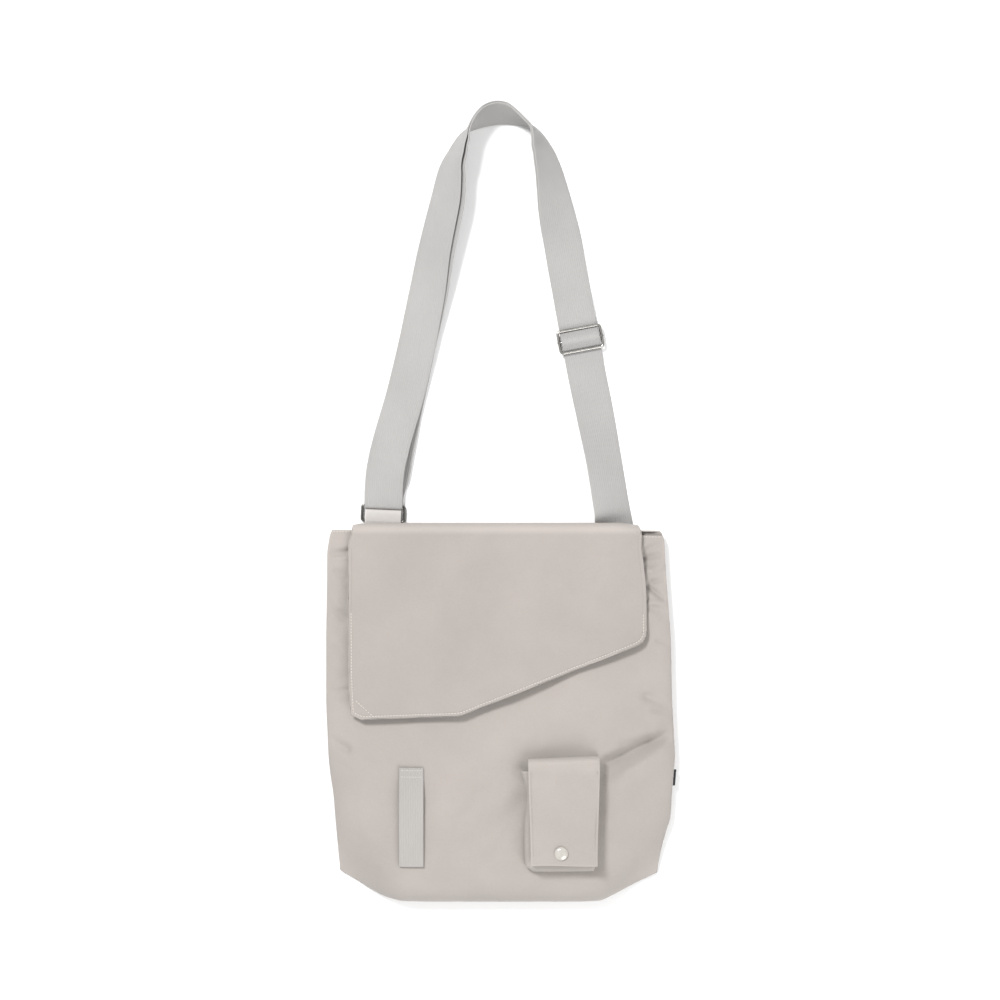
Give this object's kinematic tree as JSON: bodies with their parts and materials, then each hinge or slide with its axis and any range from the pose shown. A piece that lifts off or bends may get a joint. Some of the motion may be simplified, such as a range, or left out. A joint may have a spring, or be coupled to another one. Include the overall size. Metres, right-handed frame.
{
  "type": "canvas shoulder bag",
  "caption": "Canvas shoulder bag lying on its back: slanted flap, small snap pocket, webbing loop, and a webbing strap with slider and ring laid out in an arch.",
  "frame": {"origin": "middle of the whole part's box at its underside, on the surface that the bag lies on", "axes": "+Y runs up the bag from its bottom edge to the strap's arch, +Z out of the front, +X to the right as seen from the front"},
  "size_m": [0.3486, 0.7938, 0.0586],
  "materials": {
    "canvas": "plain woven cotton canvas, matt, light warm grey",
    "webbing": "ribbed cotton webbing, matt, light grey",
    "nickel": "polished nickel plate",
    "pearl": "glossy pearl cap",
    "tab_black": "matt woven ribbon, black"
  },
  "bodies": {
    "root": {"back_panel": "canvas", "front_panel": "canvas", "flap": "canvas", "shoulder_strap": "webbing", "slider": "nickel", "d_ring": "nickel", "ring_tab": "canvas", "pocket_pouch": "canvas", "pocket_flap": "canvas", "snap_cap": "pearl", "snap_stud": "nickel", "webbing_loop": "webbing", "side_tab": "tab_black"}
  },
  "joints": []
}
